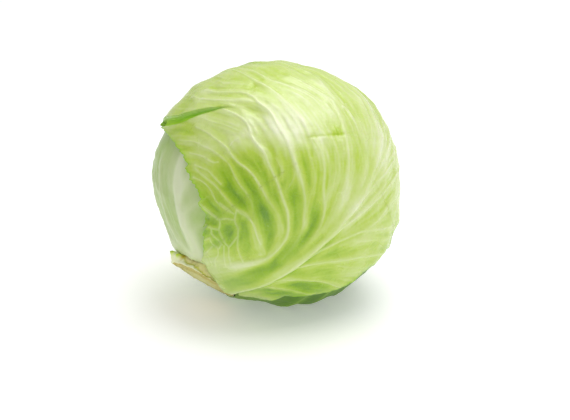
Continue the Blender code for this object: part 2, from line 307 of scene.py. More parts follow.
# left leaf: its broad pale midrib and side veins, in the same frame
LEFT_MID = [(206, 268), (197, 258), (190, 241), (184, 226), (179, 210), (176, 195), (175, 180), (177, 165),
            (182, 150), (190, 135)]
LEFT_VEINS = [
    ([(183, 224), (184, 212), (192, 205), (203, 198), (215, 190)], 0.55, 1.2),
    ([(190, 241), (189, 230), (186, 220), (188, 211)], 0.35, 1.2),
    ([(196, 254), (193, 242), (193, 230), (203, 225), (214, 220)], 0.45, 1.2),
    ([(177, 192), (183, 182), (190, 172), (200, 160)], 0.45, 1.2),
    ([(194, 258), (176, 236), (166, 214), (161, 192), (160, 170), (163, 150)], 0.75, 1.6),
    ([(191, 258), (170, 235), (160, 214), (155, 196), (153, 178)], 0.45, 1.0),
    ([(186, 256), (168, 238), (158, 220)], 0.35, 1.0),
    ([(163, 199), (157, 186), (154, 172)], 0.40, 0.8),
]

FRONT_LEFT_EDGE = [(200, 262), (202.6, 256), (203.7, 250), (204, 238), (203.2, 232), (201.6, 229.3), (203, 227.3), (208, 224.8), (204.5, 222.6), (204, 214), (200.5, 202.4),
                   (203, 198.7), (199.3, 191), (191.7, 182.4), (190, 175), (185.6, 168.5), (189, 164.6),
                   (185.6, 158.3), (182, 153), (175.3, 143.4), (167.8, 134.8), (164.9, 130.6), (160.8, 126)]
FRONT_RIGHT_EDGE = [(240, 296), (264, 300), (285, 297.5), (303, 295.5), (318, 295.3), (329, 291.5),
                    (341, 286.5), (353, 280), (362, 274), (375, 264.7), (383, 253.5), (386, 249.5),
                    (390.5, 246.5), (392, 240), (395.5, 228), (398.5, 220)]

FOLD_LIP = [(155, 124), (161, 122.7), (164, 120.4), (176, 117.6), (190, 114), (202, 111), (216, 108),
            (226, 107), (236, 108)]
CREASE = [(306, 137.5), (318, 135.5), (332, 134.6), (348, 134)]


class Leaf:
    def __init__(self, name, polar, turn, outline, cells):
        self.name, self.outline, self.cells = name, outline, cells
        self.tip, self.side, self.out = leaf_axes(polar, turn)
        self.turn = turn

    def place(self, v):
        """(heading in degrees, angle from the middle in degrees)"""
        return (np.degrees(np.arctan2(v @ self.side, v @ self.tip)),
                np.degrees(np.arccos(np.clip(v @ self.out, -1, 1))))

    def toward(self, heading, angle):
        h, a = np.radians(heading), np.radians(angle)
        return (np.cos(a)[..., None] * self.out
                + np.sin(a)[..., None] * (np.cos(h)[..., None] * self.tip
                                          + np.sin(h)[..., None] * self.side))

    def reach(self, heading):
        """Margin of the leaf: its outline with small teeth and waves."""
        r = ring_value(self.outline, heading)
        p = self.toward(heading, r) * HEAD_RADIUS
        r = r + 0.85 * TEETH(p) + 0.35 * TEETH_FINE(p)
        if self.name == "front_wrapper_leaf":
            for edge in (FRONT_LEFT_EDGE, FRONT_RIGHT_EDGE):
                h, a = self.place(seen(edge))
                order = np.argsort(h)
                h, a = h[order], a[order]
                keep = np.concatenate([[True], np.diff(h) > 0.15])
                h, a = h[keep], a[keep]
                w = smoothstep(h[0] - 3, h[0], heading) * (1 - smoothstep(h[-1], h[-1] + 3, heading))
                r = r * (1 - w) + (np.interp(heading, h, a) + 0.25 * TEETH_FINE(p) + 0.24 * TEETH_SMALL(p)) * w
        # the base wraps round the stump
        stem_at, stem_far = self.place(STEM[None, :])
        circle = math.radians(17.6)
        pc = math.radians(float(stem_far[0]))
        a = np.cos(np.radians(heading - float(stem_at[0]))) * math.sin(pc)
        b = math.cos(pc)
        amp = np.hypot(a, b)
        hit = np.degrees(np.arctan2(a, b) - np.arccos(np.clip(math.cos(circle) / np.maximum(amp, 1e-9), -1, 1)))
        return np.where((amp > math.cos(circle)) & (a > 0), np.minimum(r, hit), r)

    def past_margin(self, v):
        h, a = self.place(v)
        return np.radians(a - ring_value(self.outline, h)) * HEAD_RADIUS

    def cover(self, v, start=0.005, end=0.034):
        return 1.0 - smoothstep(start, end, self.past_margin(v))


LEAVES = [
    Leaf("front_wrapper_leaf", 115, 8, FRONT, 430),
    Leaf("bottom_wrapper_leaf", 90, 131, BOTTOM, 220),
    Leaf("left_wrapper_leaf", 82, -62, LEFT, 230),
    Leaf("back_wrapper_leaf", 90, -150, BACK, 220),
]


def bump(d, w):
    return np.exp(-(d / w) ** 2)


def edge_cells(p, leaf, size, seed):
    """Distance in metres to the borders of a net of cells of about the given size."""
    rng = np.random.default_rng(seed)
    n = int(2.4 * math.pi * HEAD_RADIUS ** 2 * 1.7 / (size * size))
    k = np.arange(n) + 0.5
    z = 1 - 1.62 * k / n
    f = k * math.pi * (3 - math.sqrt(5))
    s = np.sqrt(np.maximum(1 - z * z, 0))
    pts = (s * np.cos(f))[:, None] * leaf.tip + (s * np.sin(f))[:, None] * leaf.side + z[:, None] * leaf.out
    pts = unit(pts + rng.normal(scale=0.26 * size / HEAD_RADIUS, size=pts.shape)) * HEAD_RADIUS
    tree = kdtree.KDTree(len(pts))
    for i, q in enumerate(pts):
        tree.insert(q, i)
    tree.balance()
    out = np.empty(len(p))
    which = np.empty(len(p), int)
    for i, q in enumerate(p):
        (c0, i0, d0), (c1, i1, d1) = tree.find_n(q, 2)
        out[i] = (d1 * d1 - d0 * d0) / (2 * (c1 - c0).length)
        which[i] = i0
    return out, rng.uniform(-1, 1, n)[which]


class Flow:
    """Direction of the veins at every point, and streaks drawn out along it."""

    def __init__(self, v):
        self.v = v
        self.sum = np.zeros((len(v), 3))

    def add(self, dist, strength):
        t = near_curve.tangent
        sign = np.sign(np.einsum("ij,ij->i", t, np.where(np.abs(self.sum).sum(1, keepdims=True) > 0, self.sum, t)))
        sign[sign == 0] = 1
        self.sum += t * (sign * strength / (dist ** 2 + 2.5e-6))[:, None]

    def streaks(self, seed, size, length):
        field = waves(seed, size, 34)
        t = self.sum / np.maximum(np.linalg.norm(self.sum, axis=1, keepdims=True), 1e-9)
        p = self.v * HEAD_RADIUS
        out = np.zeros(len(p))
        steps = np.linspace(-1, 1, 9)
        for k in steps:
            out += field(unit(p + t * (k * length)) * HEAD_RADIUS)
        return out / len(steps) * 2.1


def front_detail(v):
    """Heights and colour fields of the front leaf."""
    p = v * HEAD_RADIUS
    flow = Flow(v)
    crest = smooth_curve(seen(FRONT_CREST))
    d, t, side = near_curve(v, crest, 0.05)
    flow.add(d, 1.0)
    right = side > 0
    width = np.where(right, 0.0036 * (1 - 0.50 * t), 0.0150 * (1 - 0.82 * t))
    top = 0.0034 * (1 - 0.88 * smoothstep(0.0, 0.75, t))
    high = top * np.where(d < 0.05, bump(d, width), 0)
    # a groove along the lower side of the crest near the base; tones() also draws it darker as a painted shadow line
    groove_and_painted_shade = bump(d - 0.0032, 0.0016) * right * (1 - smoothstep(0.35, 0.6, t))
    high = high - 0.0006 * groove_and_painted_shade
    line = bump(d + 0.0002, 0.0010) * (1 - 0.3 * t)
    # olive hollow that runs along the upper side of the crest
    away = np.interp(t, [0, 0.08, 0.28, 0.42, 1], [0.0080, 0.0088, 0.0118, 0.0135, 0.0135])
    hollow = np.where(right, 0, bump(d - away, 0.0046)) * smoothstep(0.0, 0.06, t) * (1 - smoothstep(0.34, 0.55, t))
    broad = np.where(right, bump(d, 0.0036), bump(d, 0.0085 * (1 - 0.6 * t))) * (1 - 0.45 * t)
    near = np.full(len(v), 0.05)
    ridge = np.zeros(len(v))
    halo = np.zeros(len(v))
    for points, strength, w in FRONT_VEINS:
        curve = smooth_curve(seen(points))
        dv, tv, _ = near_curve(v, curve)
        flow.add(dv, strength)
        fade = (1 - 0.50 * tv) * strength * (0.30 + 0.70 * smoothstep(0.0, 0.16, tv))
        # near the midrib a side vein is a broad soft band, further out a fine line
        fine = smoothstep(0.12, 0.45, tv)
        ridge = np.maximum(ridge, fade * (0.22 + 0.78 * fine) * bump(dv, 0.00068 * w * (1.45 - 0.60 * tv)))
        halo = np.maximum(halo, fade * (0.35 + 0.65 * strength) * bump(dv, w * (0.0018 + 0.0030 * (1 - tv) ** 2)))
        near = np.minimum(near, dv + 0.002 * tv)
    net = np.zeros(len(v))
    for points in FRONT_NET:
        curve = smooth_curve(seen(points), 4)
        dv, tv, _ = near_curve(v, curve, 0.012)
        net = np.maximum(net, bump(dv, 0.00058))
        near = np.minimum(near, dv + 0.0015)
    cells, shade = edge_cells(p, LEAVES[0], 0.0135, 21)
    own = smoothstep(0.15, 0.40, v @ NEAR)
    web = bump(cells, 0.00060) * (1 - 0.85 * own)
    valley = smoothstep(0.0012, 0.0075, np.minimum(near, d + 0.002))
    calm = 1 - smoothstep(0.026, 0.045, np.minimum(near, d))
    wide, thin = calm * flow.streaks(51, 0.0060, 0.010), calm * flow.streaks(52, 0.0028, 0.008)
    high = high + 0.00044 * ridge + 0.00044 * halo - 0.00037 * valley
    high = high + 0.00020 * net + 0.00006 * web - 0.0004 * hollow
    high = high + 0.00030 * PUCKER(p) * (0.35 + 0.65 * valley) + 0.00005 * FINE(p)
    high = high + 0.00014 * wide + 0.000045 * thin
    return dict(high=high, line=line, broad=broad, ridge=ridge, halo=halo, net=net, web=web, hollow=hollow,
                valley=valley, cell=shade, groove_and_painted_shade=groove_and_painted_shade, t=t, d=d, right=right, wide=wide, thin=thin)


def plain_veins(leaf, turn0, count, seed, base=24.0, tip=150.0):
    """Midrib and side veins of a leaf that follow a rule: they leave the midrib in turn, bend to the tip and fork."""
    rng = np.random.default_rng(seed)
    polar = np.linspace(base - 4, tip, 9)
    sway = 2.5 * np.sin(np.radians((polar - base) * 2.2) + seed)
    mid = direction(polar, turn0 + sway)
    veins = []
    for k in range(count):
        for s in (-1, 1):
            p0 = base + 6 + (tip - base - 30) * ((k + 0.25 + 0.5 * (s > 0)) / count) ** 1.15 + rng.uniform(-2, 2)
            length = rng.uniform(0.85, 1.1)
            pts_p, pts_t = [], []
            for u in np.linspace(0, 1, 8):
                pp = p0 + (16 + 46 * u) * u * length * (1.0 - 0.30 * k / count)
                lat = s * (62 * u ** 0.85 * length) / max(0.35, math.sin(math.radians(min(max(p0, 40), 140))))
                pts_p.append(min(pp, 168))
                pts_t.append(turn0 + np.interp(p0, polar, sway) + lat + rng.uniform(-1.2, 1.2))
            curve = direction(np.array(pts_p), np.array(pts_t))
            veins.append((curve, 1.0 - 0.45 * k / count, 1.0))
            # a fork
            if k < count - 1:
                j = 3 if k % 2 else 4
                q = curve[j]
                sub = [q]
                for u in (0.35, 0.7, 1.0):
                    sub.append(direction(pts_p[j] + 26 * u * length + 4, pts_t[j] + s * 13 * u + s * 5))
                veins.append((np.array(sub), 0.5, 0.8))
    return mid, veins


def plain_detail(v, leaf, turn0, count, seed, rib):
    p = v * HEAD_RADIUS
    flow = Flow(v)
    if leaf.name == "left_wrapper_leaf":
        mid = seen(LEFT_MID)
        veins = [(seen(q), a, w) for q, a, w in LEFT_VEINS]
        # the same leaf goes on round the back, with plain side veins there
        for curve, strength, w in plain_veins(leaf, turn0, count, seed)[1]:
            curve = np.asarray(curve)
            behind = curve[curve @ NEAR < 0.10]
            if len(behind) >= 4:
                veins.append((behind, 1.6 * strength, w))
        wide_rib = 0.0062
    else:
        mid, veins = plain_veins(leaf, turn0, count, seed)
        wide_rib = 0.0085
    d, t, side = near_curve(v, smooth_curve(mid), 0.05)
    flow.add(d, 1.0)
    width = wide_rib * (1 - 0.72 * t)
    high = rib * (1 - 0.85 * t) * np.where(d < 0.05, bump(d, width), 0)
    line = bump(d, 0.0022 * (1 - 0.6 * t)) * (1 - 0.5 * t)
    broad = bump(d, wide_rib * 1.25 * (1 - 0.65 * t)) * (1 - 0.4 * t)
    near = np.full(len(v), 0.05)
    ridge = np.zeros(len(v))
    halo = np.zeros(len(v))
    for curve, strength, w in veins:
        dv, tv, _ = near_curve(v, smooth_curve(curve, 4))
        flow.add(dv, strength)
        fade = (1 - 0.6 * tv) * strength
        fine = smoothstep(0.06, 0.35, tv)
        if leaf.name == "left_wrapper_leaf" and curve[0] @ NEAR < 0.12:
            fade = fade * smoothstep(0.0, 0.45, tv)
        ridge = np.maximum(ridge, fade * (0.3 + 0.7 * fine) * bump(dv, 0.00085 * w * (1.4 - 0.6 * tv)))
        halo = np.maximum(halo, fade * bump(dv, w * (0.0020 + 0.0032 * (1 - tv) ** 2)))
        near = np.minimum(near, dv + 0.003 * tv)
    cells, shade = edge_cells(p, leaf, 0.0145, seed + 40)
    web = bump(cells, 0.0007)
    valley = smoothstep(0.0012, 0.0080, np.minimum(near, d + 0.002))
    calm = 1 - smoothstep(0.026, 0.045, np.minimum(near, d))
    wide, thin = calm * flow.streaks(seed + 60, 0.0060, 0.010), calm * flow.streaks(seed + 61, 0.0028, 0.008)
    high = high + 0.00060 * ridge + 0.00048 * halo - 0.00055 * valley
    high = high + 0.00014 * web + 0.00034 * PUCKER(p) * (0.35 + 0.65 * valley) + 0.00008 * FINE(p)
    high = high + 0.00017 * wide + 0.000055 * thin
    zero = np.zeros(len(v))
    return dict(high=high, line=line, broad=broad, ridge=ridge, halo=halo, net=zero, web=web, hollow=zero,
                valley=valley, cell=shade, groove_and_painted_shade=zero, t=t, d=d, right=side > 0, wide=wide, thin=thin)


def collar(v, leaf_index):
    """The leaf's base grows up the side of the stump, higher at some turns than at others."""
    polar, turn = polar_turn(v)
    turns, height = {
        0: ([-60, -20, -6, 2, 10, 20, 40, 60, 85, 110], [0.4, 0.3, 0.4, 0.6, 1.1, 1.7, 2.9, 3.6, 2.0, 0.0]),
        1: ([22, 42, 70, 120, 150, 185, 215], [1.2, 3.0, 3.2, 3.2, 3.0, 2.8, 1.0]),
        2: ([-120, -94, -76, -64, -50, -36, -20, 0], [0.5, 3.4, 3.0, 2.0, 1.1, 0.8, 0.6, 0.5]),
        3: ([-220, -195, -150, -110, -80], [1.6, 2.8, 3.0, 2.2, 0.5]),
    }[leaf_index]
    middle = 0.5 * (turns[0] + turns[-1])
    off = (turn - middle + 180) % 360 - 180 + middle
    rise = 1 - smoothstep(17.5, 36.0, polar)
    return np.interp(off, turns, height) / 1000 * rise ** 1.5


def spot(v, x, y, size):
    """1 at a point of the front view, fading over size metres."""
    c = seen([(x, y)])[0]
    return bump(np.linalg.norm(v - c, axis=-1) * HEAD_RADIUS, size)


def leaf_model(index, v):
    """Radius and colour fields of a wrapper leaf."""
    leaf = LEAVES[index]
    r = head_surface(v)
    covered = np.zeros(len(v))
    for j in range(index):
        c = LEAVES[j].cover(v)
        r = r - LEAF_STEP * c
        covered = np.maximum(covered, c)
    p = v * HEAD_RADIUS
    polar, turn = polar_turn(v)
    if index == 0:
        m = front_detail(v)
        high = m["high"] + collar(v, 0)
        # the fold at the upper left: a lip stands over a hollow that tapers to the right; the hollow's darker core
        # just under the lip is painted shade
        lip = smooth_curve(seen(FOLD_LIP))
        d, t, side = near_curve(v, lip, 0.05)
        s = d * np.where(side > 0, 1, -1)
        # the hollow's width along the lip
        span = np.interp(t, [0.0, 0.12, 0.30, 0.55, 0.78, 0.86, 1.0],
                         [0.0080, 0.0098, 0.0070, 0.0040, 0.0014, 0.0012, 0.0003])
        taper = np.interp(t, [0, 0.1, 0.55, 0.8, 1.0], [1.0, 1.0, 0.75, 0.35, 0.0])
        above = np.where(s < 0, np.exp(np.minimum(s, 0) / 0.012), 0)
        within = smoothstep(-0.0001, 0.0006, s) * (1 - smoothstep(span * 0.55, span * 1.05, s))
        high = high + taper * (0.0024 * above - 0.0016 * within)
        on = (d < 0.03)
        m["fold"] = on * within * np.minimum(1, taper * 1.3)
        # painted shade: a darker green core along the hollow just under the lip
        m["fold_painted_shade"] = on * np.exp(-((s - span * 0.22) / (span * 0.30 + 1e-5)) ** 2) * (s > 0) * smoothstep(0.25, 0.5, t) * (1 - smoothstep(0.78, 0.9, t))
        m["fold_lip"] = on * bump(s + 0.0002, 0.0007) * taper
        # a short crease across the top; its line is drawn darker as painted shade
        crease = smooth_curve(seen(CREASE))
        dc, tc, sc = near_curve(v, crease, 0.02)
        ends = smoothstep(0, 0.15, tc) * (1 - smoothstep(0.85, 1.0, tc)) + 0.2
        high = high - 0.00022 * ends * bump(dc, 0.0012) + 0.00015 * ends * bump(dc, 0.004) * (sc < 0)
        m["crease"] = ends * bump(dc, 0.0010)
        m["below_crease"] = np.where(sc > 0, bump(dc, 0.005), 0) * tc
    else:
        turn0, count, seed, rib = {1: (128, 7, 5, 0.0020), 2: (-48, 6, 8, 0.0022), 3: (-150, 7, 3, 0.0022)}[index]
        m = plain_detail(v, leaf, turn0, count, seed, rib)
        high = m["high"] + collar(v, index)
        m["fold"] = m["fold_painted_shade"] = m["fold_lip"] = m["crease"] = m["below_crease"] = np.zeros(len(v))
    # margins wave a little and lift
    h, a = leaf.place(v)
    inside = np.radians(leaf.reach(h) - a) * HEAD_RADIUS
    lift = np.exp(-np.maximum(inside, 0) / 0.006)
    high = high + lift * (0.0006 + 0.0007 * TEETH(p * 0.6)) * smoothstep(26, 40, polar)
    hush = 1 - 0.85 * smoothstep(0.15, 0.7, covered)
    r = r + high * hush
    r = rest_flat(v, r)
    m["inside"] = inside
    m["polar"], m["turn"] = polar, turn
    m["covered"] = covered
    return r, m


def tones(index, v, m):
    """Tone 0 (deep green) to 1 (pale), and the pale vein lines."""
    p = v * HEAD_RADIUS
    polar = m["polar"]
    base = 1 - smoothstep(28, 92, polar)
    if index == 0:
        tone = 0.61 + 0.12 * m["halo"] + 0.07 * m["broad"] - 0.05 * m["valley"] + 0.06 * base
        tone = tone + 0.05 * PATCH(p) * (0.3 + 0.7 * m["valley"]) + 0.02 * PUCKER(p) + 0.01 * m["cell"]
        tone = tone + 0.050 * m["wide"] + 0.045 * m["thin"]
        # darker, fresher patches and paler ones: partly the leaf's own tone, partly painted highlight and sheen on the
        # upper blade and right edge, and painted shade darkening the lower half
        for x, y, size, amount in FRONT_TONE_AND_PAINTED_LIGHT_PATCHES:
            tone = tone + amount * spot(v, x, y, size) * (1 if amount > 0 else (0.60 + 0.40 * m["valley"]) * (1 - 0.5 * m["halo"]))
        # painted shade: the crease line drawn darker; paler just below it
        tone = tone + 0.06 * m["below_crease"] - 0.14 * m["crease"]
        # painted shade: the groove below the crest is drawn darker as a shadow line; the hollow above the crest is an
        # olive band
        tone = tone - 0.24 * m["groove_and_painted_shade"] - 0.30 * m["hollow"]
        line = 0.42 * m["line"] + 0.66 * m["ridge"] + 0.34 * m["net"] + 0.05 * m["web"]
        # the veins are drawn whiter round the glossy highlight near the top, as painted highlight, and in a spot left
        # of the middle
        line = line * (1 + 0.55 * spot(v, 300, 112, 0.030) + 0.35 * spot(v, 250, 172, 0.016))
    else:
        # the bottom leaf's tone is set very low: partly its own darker outer green, partly painted shade where it lies
        # under the head by the floor
        level = {1: 0.06, 2: 0.40, 3: 0.46}[index]
        pale = {1: 0.10, 2: 0.14, 3: 0.16}[index]
        tone = level + 0.22 * m["halo"] + {1: 0.26, 2: 0.46, 3: 0.26}[index] * m["broad"] - 0.12 * m["valley"] + pale * base
        grain = 0.5 if index == 2 else 1.0
        if index == 2:
            tone = tone + 0.30 * spot(v, 181, 150, 0.022) + 0.22 * spot(v, 181, 180, 0.020)
        tone = tone + 0.05 * PATCH(p) + grain * (0.02 * PUCKER(p) + 0.01 * m["cell"] + 0.05 * m["wide"] + 0.045 * m["thin"])
        line = 0.40 * m["line"] + {1: 0.60, 2: 0.30, 3: 0.70}[index] * m["ridge"] + 0.08 * m["web"]
        if index == 2:
            line = line - 0.30 * m["line"]
    return np.clip(tone, 0, 1), np.clip(line, 0, 1)


# x, y in the front view's frame, size in metres, amount (below 0 is deeper green)
FRONT_TONE_AND_PAINTED_LIGHT_PATCHES = [
    # the deep green middle of the blade
    (240, 192, 0.0320, -0.32), (288, 192, 0.0250, -0.16), (225, 235, 0.0170, -0.16), (310, 208, 0.0190, -0.14),
    # single fields between veins
    (266, 212, 0.0090, -0.32), (252, 190, 0.0110, -0.10), (248, 160, 0.0090, -0.12), (224, 190, 0.0090, -0.08),
    (242, 228, 0.0080, -0.10), (303, 157, 0.0080, -0.16), (290, 190, 0.0080, -0.06), (213, 210, 0.0080, -0.06),
    (334, 168, 0.0070, -0.06), (318, 188, 0.0060, -0.08), (233, 247, 0.0070, -0.06),
    # lower edge and right side: deeper green, partly the leaf's own tone and partly painted shade, darker towards the
    # bottom
    (300, 290, 0.0080, -0.10), (272, 293, 0.0080, -0.14), (325, 288, 0.0070, -0.14), (375, 244, 0.0070, -0.10),
    (352, 262, 0.0090, -0.10), (330, 272, 0.0070, -0.08), (368, 215, 0.0060, -0.06),
    (215, 132, 0.0090, -0.05), (190, 128, 0.0080, -0.08), (181, 136, 0.0080, -0.08),
    (218, 236, 0.0130, -0.14), (238, 238, 0.0080, -0.08), (322, 228, 0.0100, -0.08), (292, 232, 0.0080, -0.06),
    (300, 282, 0.0100, -0.12), (330, 280, 0.0090, -0.10), (262, 290, 0.0060, -0.10), (322, 172, 0.0080, -0.05),
    (208, 236, 0.0120, -0.20), (310, 262, 0.0180, -0.10), (262, 280, 0.0150, -0.10), (250, 264, 0.0160, -0.08), (264, 290, 0.0130, -0.10), (290, 262, 0.0150, -0.08), (296, 288, 0.0170, -0.18), (240, 272, 0.0130, -0.08), (300, 240, 0.0160, -0.08), (262, 178, 0.0090, -0.06),
    # paler places: partly the leaf's own paler tone, partly painted highlight on the glossy top and painted sheen
    # along the right edge; a few darker spots among them
    (212, 135, 0.0260, 0.10), (244, 144, 0.0220, 0.05), (266, 118, 0.0220, 0.06), (290, 140, 0.0180, 0.06),
    (352, 92, 0.0190, 0.22), (382, 124, 0.0150, 0.20), (384, 150, 0.0150, 0.12), (266, 124, 0.0130, 0.12),
    (262, 146, 0.0080, 0.08), (200, 104, 0.0110, 0.06),
    (318, 106, 0.0260, 0.11), (300, 66, 0.0140, 0.10), (240, 132, 0.0110, 0.04), (245, 268, 0.0120, 0.14),
    (385, 170, 0.0200, 0.05), (374, 257, 0.0160, -0.18), (350, 205, 0.0170, 0.12), (332, 90, 0.0190, 0.08), (378, 150, 0.0180, 0.12),
    (345, 180, 0.0150, 0.08), (320, 150, 0.0180, 0.08), (309, 226, 0.0070, 0.16), (292, 118, 0.0170, 0.07),
    # a green spot by the crease, and painted highlight: cream patches below the crease and along the highlight's lower
    # edge
    (338, 130, 0.0036, -0.24), (322, 139, 0.0042, 0.16), (289, 135, 0.0090, 0.10), (279, 127, 0.0070, 0.08),
    # painted shade: the lower margin and the lower half drawn darker towards the floor, with a few darker fields
    (284, 294, 0.0100, -0.24), (312, 292, 0.0110, -0.24), (336, 287, 0.0080, -0.10), (270, 268, 0.0400, -0.05), (320, 224, 0.0160, -0.08), (222, 245, 0.0180, -0.08),
    (381, 178, 0.0120, -0.08),
    (345, 228, 0.0080, 0.06), (215, 110, 0.0150, 0.04),
]


# --------------------------------------------------------------------------
# Meshes
# --------------------------------------------------------------------------
def new_mesh(name, verts, quads, attributes, smooth=True):
    mesh = bpy.data.meshes.new(name)
    mesh.vertices.add(len(verts))
    mesh.vertices.foreach_set("co", np.ascontiguousarray(verts, dtype=np.float32).ravel())
    mesh.loops.add(quads.size)
    mesh.loops.foreach_set("vertex_index", quads.astype(np.int32).ravel())
    mesh.polygons.add(len(quads))
    mesh.polygons.foreach_set("loop_start", np.arange(0, quads.size, quads.shape[1], dtype=np.int32))
    mesh.update(calc_edges=True)
    mesh.validate()
    mesh.polygons.foreach_set("use_smooth", np.full(len(mesh.polygons), smooth))
    for key, values in attributes.items():
        layer = mesh.attributes.new(key, "FLOAT", "POINT")
        layer.data.foreach_set("value", np.ascontiguousarray(values, dtype=np.float32))
    obj = bpy.data.objects.new(name, mesh)
    bpy.context.scene.collection.objects.link(obj)
    return obj


def leaf_mesh(index):
    leaf = LEAVES[index]
    n = leaf.cells + 1
    g = np.linspace(-1, 1, n)
    x, y = np.meshgrid(g, g)
    x, y = x.ravel(), y.ravel()
    px, py = x * np.sqrt(1 - 0.5 * y * y), y * np.sqrt(1 - 0.5 * x * x)
    rad = np.hypot(px, py)
    heading = np.degrees(np.arctan2(-py, px))
    v = leaf.toward(heading, rad * leaf.reach(heading))
    r, m = leaf_model(index, v)
    tone, line = tones(index, v, m)
    idx = np.arange(n * n).reshape(n, n)
    quads = np.stack([idx[:-1, :-1], idx[:-1, 1:], idx[1:, 1:], idx[1:, :-1]], -1).reshape(-1, 4)
    # turned-under margin, so that the leaf shows its thickness
    border = np.concatenate([idx[0, :-1], idx[:-1, -1], idx[-1, :0:-1], idx[:0:-1, 0]])
    top = v[border] * r[border][:, None]
    inner = leaf.toward(heading[border], rad[border] * leaf.reach(heading[border]) - 3.2)
    ri, mi = leaf_model(index, inner)
    ring1 = v[border] * (r[border] - LEAF_THICKNESS * 0.55)[:, None] + (v[border] - inner) * 0.0
    ring2 = v[border] * (r[border] - LEAF_THICKNESS)[:, None]
    ring3 = inner * (ri - LEAF_THICKNESS - 0.0002)[:, None]
    for ring in (ring1, ring2, ring3):
        low = ring[:, 2] + CENTRE[2]
        ring[:, 2] += np.maximum(0.0, -low)
    verts = np.concatenate([v * r[:, None], ring1, ring2, ring3]) + CENTRE
    k = len(border)
    b0, b1 = border, np.roll(border, -1)
    strips = []
    last0, last1 = b0, b1
    for level in range(3):
        c0 = n * n + level * k + np.arange(k)
        c1 = n * n + level * k + (np.arange(k) + 1) % k
        strips.append(np.stack([last0, c0, c1, last1], -1))
        last0, last1 = c0, c1
    quads = np.concatenate([quads] + strips)
    def pad(a):
        return np.concatenate([a, a[border], a[border], a[border]])
    polar = m["polar"]
    attrs = {"tone": pad(tone), "line": pad(line), "base": pad(1 - smoothstep(20, 50, polar)),
             "fold": pad(m["fold"]), "fold_painted_shade": pad(m["fold_painted_shade"]),
             "rim": pad(np.clip(1.2 * np.exp(-np.maximum(m["inside"], 0) / 0.0013) * smoothstep(24, 34, polar)
                                + m["fold_lip"], 0, 1))}
    return new_mesh(leaf.name + "_skin", verts, quads, attrs)


